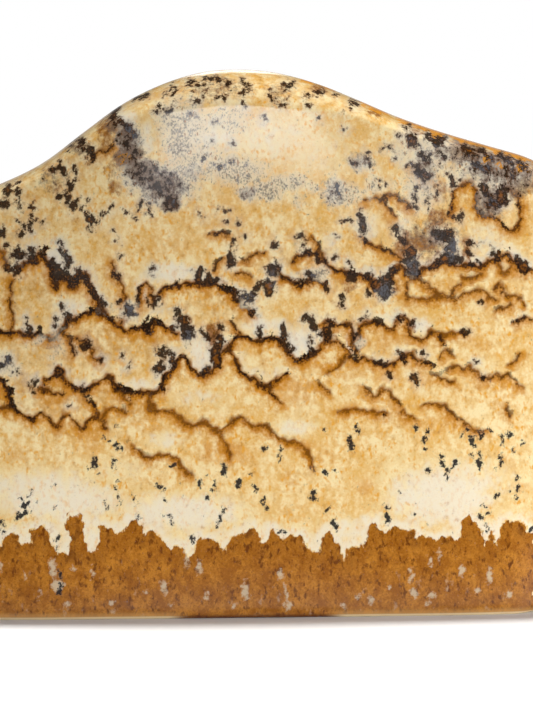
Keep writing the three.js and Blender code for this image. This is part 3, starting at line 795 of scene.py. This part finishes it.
class Shading:
    """A material's nodes. node() adds any of them; the rest are short names for the usual ones."""

    def __init__(self, name):
        self.material = bpy.data.materials.new(name)
        self.material.use_nodes = True
        self.tree = self.material.node_tree
        self.surface = self.tree.nodes["Principled BSDF"]
        self.place = self.node("ShaderNodeTexCoord", output="Object")

    def node(self, kind, settings=(), sockets=(), output=0):
        """A node of that kind: its settings first, then a value or a link for each socket named."""
        made = self.tree.nodes.new(kind)
        for name, value in dict(settings).items():
            setattr(made, name, value)
        self.fill(made, sockets)
        return Value(self, made.outputs[output])

    def fill(self, made, sockets):
        """Link what is a Value to its socket, and set the rest as the sockets' own values."""
        for name, value in dict(sockets).items():
            if isinstance(value, Value):
                self.tree.links.new(value.socket, made.inputs[name])
            else:
                made.inputs[name].default_value = value

    def stretched(self, x, y, z):
        """The stone's place in millimetres, divided by these lengths."""
        scale = [1 / MM / length for length in (x, y, z)]
        sockets = {"Vector": self.place, "Scale": scale}
        return self.node("ShaderNodeMapping", {"vector_type": "POINT"}, sockets)

    def noise(self, size, detail=2.0, roughness=0.5, seed=0.0):
        """Noise about 0, mostly within 1 of it, with features of that size in mm, or (x, y, z) sizes."""
        sizes = size if isinstance(size, tuple) else (size,) * 3
        sockets = {"Vector": self.stretched(*sizes), "W": seed, "Scale": 1}
        sockets |= {"Detail": detail, "Roughness": roughness}
        return (self.node("ShaderNodeTexNoise", {"noise_dimensions": "4D"}, sockets) - 0.5) * 4

    def parts(self, attribute):
        """The three numbers of an attribute of the mesh."""
        kept = self.node("ShaderNodeAttribute", {"attribute_name": attribute}, output="Vector")
        return [self.node("ShaderNodeSeparateXYZ", (), {"Vector": kept}, axis) for axis in "XYZ"]

    def mix(self, share, under, over):
        """The colour under, with that share of the colour over laid on it."""
        sockets = {0: share, 6: under, 7: over}
        return self.node("ShaderNodeMix", {"data_type": "RGBA"}, sockets, 2)


def colour(red, green, blue):
    """An sRGB colour, 0 to 255, as the linear colour that a socket takes."""
    shares = [channel / 255 for channel in (red, green, blue)]
    return (*[s / 12.92 if s <= 0.04045 else ((s + 0.055) / 1.055) ** 2.4 for s in shares], 1)


# The stone's colours, and the painted sheen and reflection along the foot
CREAM = colour(249, 226, 172)
HONEY = colour(230, 178, 92)
CHALK = colour(244, 233, 208)
IVORY = colour(244, 222, 166)
BLUE_WHITE = colour(218, 212, 198)
BEIGE = colour(230, 214, 182)
PEACH = colour(216, 152, 72)
TAN = colour(184, 128, 54)
ORANGE = colour(232, 166, 60)
GLOW = colour(204, 134, 32)
RUST = colour(150, 86, 14)
FLAME = colour(222, 148, 30)
DARK_RUST = colour(68, 38, 10)
UMBER = colour(104, 64, 30)
BLACK_BROWN = colour(38, 24, 10)
BLUE_BLACK = colour(28, 28, 32)
SLATE = colour(92, 94, 100)
DOVE = colour(124, 110, 96)
SMOKE = colour(112, 94, 80)
BAND_BROWN = colour(154, 92, 20)
# the band's dark specks, also used as a painted contact shadow along the middle of the foot
BAND_DARK_AND_FOOT_SHADE = colour(98, 48, 8)
BAND_LIGHT = colour(198, 130, 42)
BAND_PALE = colour(212, 192, 160)
RIM_ORANGE = colour(244, 164, 44)
# A painted sheen and a painted reflection of the bright floor along the foot's edge, not colours of the
# stone
PAINTED_FOOT_SHEEN = colour(214, 164, 96)
PAINTED_FOOT_REFLECTION = colour(250, 230, 188)
POLISHED = 0.13  # roughness of the bare polish
REFRACTION = 1.54  # index of chalcedony


def ground(s, ochre, bleach, tan, distance, mottle, dapple, fine):
    """Cream and honey clouds, peach and tan washes, chalk patches and small upright ochre specks."""
    cloud = s.noise((3.4, 3.4, 4), 2, seed=1)
    soft = s.noise((0.75, 0.75, 0.95), 1, seed=2)
    tone = s.mix((cloud * 0.5 + mottle * 0.55 + soft * 0.5 + fine * 0.35).rise(-0.8, 0.8), CREAM, HONEY)
    peach = (ochre + soft * 0.5 + mottle * 0.4 + dapple * 0.3 - 0.1).rise(0.0, 1.2)
    tone = s.mix(peach * 0.8, tone, PEACH)
    wash = (tan * 1.1 + mottle * 0.6 + dapple * 0.45).rise(0.1, 1.5)
    tone = s.mix(wash * (distance.rise(1.3, 0.2) * 0.5 + 0.45), tone, TAN)
    chalk = (bleach * 1.1 + soft * 0.4 + mottle * 0.2 - tan * 0.3).rise(0.1, 1.0)
    tone = s.mix(chalk * 0.92, tone, s.mix((bleach * 1.6 + mottle * 0.3).rise(0.5, 1.4), IVORY, CHALK))
    where = s.noise(2.6, 1, seed=5).rise(-0.6, 0.5)
    specks = s.noise((0.4, 0.4, 0.55), 1, seed=4).rise(0.05, 0.9) * (where * 0.6 + 0.4)
    tone = s.mix(specks * (1 - chalk * 0.7), tone, ORANGE)
    return s.mix(s.noise(0.3, 1, seed=7).rise(0.2, 1.0) * 0.4, tone, IVORY)


def veins(s, tone, signed, distance, half, dark, dapple, mottle, fine):
    """A glow and rust under each vein, its ragged brown core, and black clumps here and there above it."""
    line = signed + dapple * 0.17 + fine * 0.12
    spread = line.size().or_more(distance - 0.14)
    near = distance.rise(0.6, 0.35)
    below = line.rise(0.3, -0.15) * spread.rise(1.4, 0.0)
    tone = s.mix((below + dapple * 0.3 + mottle * 0.2).rise(0.0, 1.0) * (dark * 0.15 + 0.72), tone, GLOW)
    core = half * (mottle + 1.0) - spread
    rusty = (core + fine * 0.06).rise(-0.38, 0.03) * near * (dark * 0.35 + 0.5)
    tone = s.mix(rusty, tone, RUST)
    tone = s.mix((core + fine * 0.12).rise(-0.08, 0.08) * near * (dark * 0.6 + 0.35), tone, DARK_RUST)
    patch = s.noise(1.8, 2, seed=26)
    clumps = patch * 0.7 + dark * 0.4 - spread * 0.9 + dapple * 0.45 + fine * 0.35 - 0.22
    clumps = clumps.rise(-0.04, 0.14) * line.rise(-0.15, 0.1) * distance.rise(1.2, 0.8)
    inside_clump = s.mix((fine + dapple * 0.5).rise(0.1, 1.2), BLACK_BROWN, UMBER)
    return s.mix(clumps * (dark * 1.2).or_less(1), tone, inside_clump)


def dark_patches(s, tone, umber, ash, rust, dapple, fine):
    """A grey mist with slate grain, then brown and orange stains with black clumps, where the tints say."""
    grain = s.noise((0.2, 0.2, 0.26), 2, 0.6, seed=27)
    lumps = s.noise((0.6, 0.6, 0.7), 3, 0.65, seed=28)
    mist = (ash * 1.2 + umber * 0.4 + lumps * 0.3 + fine * 0.15).rise(0.1, 1.0)
    tone = s.mix(mist * 0.8, tone, s.mix((umber + lumps * 0.3).rise(0.1, 0.6), BEIGE, BLUE_WHITE))
    smoke = (umber * 1.1 + lumps * 0.3 + fine * 0.2).rise(0.25, 0.95)
    tone = s.mix(smoke * 0.75, tone, SMOKE)
    grey = s.mix((lumps + umber).rise(-0.1, 1.0), DOVE, SLATE)
    tone = s.mix((ash * 0.9 + grain * 0.8 + lumps * 0.5).rise(0.45, 1.35) * 0.85, tone, grey)
    grains = s.noise((0.28, 0.28, 0.6), 1, seed=29).rise(0.55, 0.9) * (ash * 2).or_less(1)
    tone = s.mix(grains * 0.7, tone, RUST)
    warm = (rust + lumps * 0.25 + grain * 0.15).rise(1.0, 1.25)
    brown = (umber.or_more(warm) * 1.1 + lumps * 0.7 + grain * 0.2).rise(0.5, 0.95)
    tone = s.mix(brown * (warm * 0.4 + 0.45), tone, s.mix(warm, UMBER, FLAME))
    clumps = (umber + lumps * 0.8 + dapple * 0.35 + grain * 0.15).rise(0.85, 1.05)
    return s.mix(clumps * 0.92, tone, s.mix(fine.rise(0.1, 1.2), BLACK_BROWN, UMBER))


def brown_band(s, tone, band, pale, dapple, fine):
    """The foot's brown band: clouds, darker upright specks, fine grain, dark tips and pale inclusions."""
    edge = s.noise((0.3, 0.3, 0.6), 3, 0.6, seed=11) * 0.22
    cover = (band + edge).rise(-0.06, 0.08)
    cloud = s.noise((1.3, 1.3, 1.9), 3, seed=12)
    specks = s.noise((0.45, 0.45, 0.75), 2, 0.6, seed=13).rise(0.1, 0.75)
    brown = s.mix((cloud * 0.8 + fine * 0.5 + dapple * 0.6).rise(-0.7, 0.9), BAND_BROWN, BAND_LIGHT)
    brown = s.mix(specks * 0.85, brown, BAND_DARK_AND_FOOT_SHADE)
    brown = s.mix(s.noise(0.18, 1, seed=14).rise(0.1, 1.0) * 0.5, brown, BAND_DARK_AND_FOOT_SHADE)
    tips = band.rise(1.6, 0.2) * (cloud + dapple * 0.8).rise(-0.1, 0.8)
    brown = s.mix(tips * 0.8, brown, BAND_DARK_AND_FOOT_SHADE)
    mist = s.noise((0.9, 0.9, 1.3), 3, 0.65, seed=16).rise(0.35, 1.1) * band.rise(1.5, 4.5)
    spots = (pale + s.noise(0.35, 3, 0.6, seed=15) * 0.25).rise(-0.12, 0.2)
    brown = s.mix((spots * 0.85).or_more(mist * 0.45), brown, BAND_PALE)
    return s.mix(cover, tone, brown)


def painted_foot_sheen_and_shade(s, tone):
    """A painted reflection of the floor along the foot's edge: a pale line under a painted sheen, and in
    the middle a painted contact shadow instead.
    """
    x, _, z = [s.node("ShaderNodeSeparateXYZ", (), {"Vector": s.place}, axis) / MM for axis in "XYZ"]
    along = (x - FOOT_GAP["x"]).size().rise(FOOT_GAP["reach"] - 1.5, FOOT_GAP["reach"] + 1)
    # painted sheen, then a painted reflection of the floor in the polished edge, on both sides of the
    # middle
    tone = s.mix(z.rise(0.9, 0.3) * along * 0.6, tone, PAINTED_FOOT_SHEEN)
    tone = s.mix(z.rise(0.36, 0.2) * along * 0.9, tone, PAINTED_FOOT_REFLECTION)
    # painted contact shadow along the middle of the foot
    return s.mix(z.rise(0.5, 0.2) * (1 - along) * 0.7, tone, BAND_DARK_AND_FOOT_SHADE)


def rust_stains(s, tone, rust, dapple, mottle, fine):
    """Rust where its tint is strong, and a darker rust where it is stronger still."""
    rusty = rust + dapple * 0.45 + mottle * 0.2
    tone = s.mix(rusty.rise(0.2, 0.9) * 0.85, tone, RUST)
    return s.mix((rusty + fine * 0.3).rise(0.75, 1.25) * 0.8, tone, DARK_RUST)


def dark_blots(s, tone, stain, depth, blots, ash, dapple, mottle, fine):
    """The blots: a brown edge, then black with umber grain, rust in wide middles and slate among ash."""
    tone = s.mix(depth.rise(-0.25, 0.03) * 0.55, tone, UMBER)
    inside_stain = s.mix((fine + dapple * 0.6).rise(0.1, 1.3), BLACK_BROWN, UMBER)
    middle = (blots - 0.1).rise(0.0, 0.2) * (mottle + fine * 0.7).rise(0.0, 0.9)
    inside_stain = s.mix(middle * 0.8, inside_stain, RUST)
    inside_stain = s.mix((ash + fine * 0.5 + dapple * 0.5).rise(0.4, 1.3), inside_stain, SLATE)
    return s.mix(stain * 0.94, tone, inside_stain)


def black_dendrites(s, tone, dendrites):
    """The dendrites: blue-black with edges broken up by very fine noise, and a narrow slate fringe."""
    twigs = dendrites + s.noise((0.3, 0.3, 0.36), 4, 0.75, seed=25) * 0.36 + 0.02
    tone = s.mix(twigs.rise(-0.14, 0.02) * 0.4, tone, SLATE)
    return s.mix(twigs.rise(-0.02, 0.04) * 0.94, tone, BLUE_BLACK)


def polish(s, pits, stain):
    """Roughness and a bump: pits and blots take less polish, and faint scratches run along the stone."""
    scratches = s.noise((3.5, 3.5, 0.06), 2, seed=32)
    gloss = POLISHED + pits * 0.25 + stain * 0.07 + scratches.size() * 0.03
    relief = pits * -0.006 + scratches * 0.0006 + s.noise(1.6, 2, seed=33) * 0.004
    bump = s.node("ShaderNodeBump", (), {"Strength": 1, "Distance": MM, "Height": relief}, "Normal")
    return gloss, bump


def jasper():
    """The polished stone: ground, tints, veins, blots, band, a painted reflection and painted shade along
    the foot, and dendrites, each laid over the last.
    """
    s = Shading("polished_picture_jasper")
    blots, dendrites, dark = s.parts("blots")
    band, pale, rim = s.parts("band")
    rust, ochre, bleach = s.parts("tints")
    umber, ash, tan = s.parts("shades")
    signed, distance, half = s.parts("veins")
    fine = s.noise(0.22, 2, 0.6, seed=21)
    dapple = s.noise((0.45, 0.45, 0.55), 3, 0.6, seed=22)
    mottle = s.noise((1.1, 1.1, 1.3), 2, 0.6, seed=23)
    depth = blots + dapple * 0.34 + mottle * 0.2 + fine * 0.16
    stain = depth.rise(-0.04, 0.08)
    pits = s.noise(0.16, 2, seed=31).rise(0.5, 0.9)

    tone = ground(s, ochre, bleach, tan, distance, mottle, dapple, fine)
    halo = (blots + dapple * 0.3 + mottle * 0.2).rise(-0.9, 0.1)
    tone = s.mix(halo * (bleach + ash + 0.35).or_less(1) * 0.75, tone, BLUE_WHITE)
    tone = rust_stains(s, tone, rust, dapple, mottle, fine)
    tone = veins(s, tone, signed, distance, half, dark, dapple, mottle, fine)
    tone = dark_patches(s, tone, umber, ash, rust, dapple, fine)
    rim_cover = (rim + dapple * 0.25 + mottle * 0.3).rise(-0.15, 0.15)
    tone = s.mix(rim_cover * 0.9, tone, RIM_ORANGE)
    tone = dark_blots(s, tone, stain, depth, blots, ash, dapple, mottle, fine)
    # the band, then the painted reflection and painted shade along the foot
    tone = painted_foot_sheen_and_shade(s, brown_band(s, tone, band, pale, dapple, fine))
    tone = black_dendrites(s, tone, dendrites)
    tone = s.mix(pits * 0.25, tone, UMBER)
    gloss, bump = polish(s, pits, stain)
    s.fill(s.surface, {"Base Color": tone, "Roughness": gloss, "Normal": bump, "IOR": REFRACTION})
    return s.material


def plain_floor():
    """A pale, matt sheet with a faint mottle. It ends just in front of the picture side."""
    s = Shading("pale_floor")
    cloud = s.noise(60, 2)
    tone = s.mix(cloud.rise(-1, 1), *[(tone, tone, tone, 1) for tone in FLOOR_TONES])
    s.fill(s.surface, {"Base Color": tone, "Roughness": 0.9, "Specular IOR Level": 0.1})
    side, front, back = FLOOR.values()
    mesh = bpy.data.meshes.new("floor")
    corners = [(-side, front, 0), (side, front, 0), (side, back, 0), (-side, back, 0)]
    mesh.from_pydata(corners, [], [(0, 1, 2, 3)])
    mesh.materials.append(s.material)
    floor = bpy.data.objects.new("floor", mesh)
    bpy.context.collection.objects.link(floor)


def soft_box(name, azimuth, elevation, distance, width, height, share, tint):
    """A rectangular lamp that faces the stone. share is what it adds to a white surface that faces it."""
    lamp = bpy.data.lights.new(name, "AREA")
    lamp.shape = "RECTANGLE"
    lamp.size = width
    lamp.size_y = height
    lamp.energy = share * math.pi**2 * distance**2
    lamp.color = tint
    a, e = math.radians(azimuth), math.radians(elevation)
    towards = Vector((math.sin(a) * math.cos(e), -math.cos(a) * math.cos(e), math.sin(e)))
    box = bpy.data.objects.new(name, lamp)
    box.location = BOX_AIM + towards * distance
    box.rotation_mode = "QUATERNION"
    box.rotation_quaternion = towards.to_track_quat("Z", "Y")
    bpy.context.collection.objects.link(box)
    return box


def studio():
    """A white surround for the camera, a dimmer one for the light, a soft box in front and a lamp above."""
    world = bpy.data.worlds.new("studio")
    world.use_nodes = True
    nodes, links = world.node_tree.nodes, world.node_tree.links
    seen = nodes.new("ShaderNodeLightPath")
    level = nodes.new("ShaderNodeMix")
    level.inputs["A"].default_value = SURROUND
    level.inputs["B"].default_value = 1.0
    links.new(seen.outputs["Is Camera Ray"], level.inputs["Factor"])
    links.new(level.outputs["Result"], nodes["Background"].inputs["Strength"])
    nodes["Background"].inputs["Color"].default_value = (1, 1, 1, 1)
    bpy.context.scene.world = world
    boxes = {name: soft_box(name, *values) for name, values in SOFT_BOXES.items()}
    boxes["key_box"].visible_glossy = False
    lamp = bpy.data.lights.new("top_lamp", "SUN")
    lamp.energy = TOP_LAMP["share"] * math.pi
    lamp.angle = math.radians(TOP_LAMP["angle"])
    above = bpy.data.objects.new("top_lamp", lamp)
    above.rotation_euler = (math.radians(TOP_LAMP["tilt"]), 0, 0)
    above.visible_glossy = False
    bpy.context.collection.objects.link(above)


def make_camera():
    """The long lens, turned to look at the aim from its distance and elevation."""
    camera = bpy.data.cameras.new("camera")
    camera.lens = LENS
    seat = bpy.data.objects.new("camera", camera)
    back = Vector((0, -math.cos(ELEVATION), math.sin(ELEVATION)))
    seat.location = (AIM + back * DISTANCE) * MM
    seat.rotation_mode = "QUATERNION"
    seat.rotation_quaternion = back.to_track_quat("Z", "Y")
    bpy.context.collection.objects.link(seat)
    bpy.context.scene.camera = seat


bpy.context.scene.view_settings.view_transform = "Standard"
stone = make_stone()
stone.data.materials.append(jasper())
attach(stone, "root")
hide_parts("jasper_stone")
plain_floor()
studio()
make_camera()
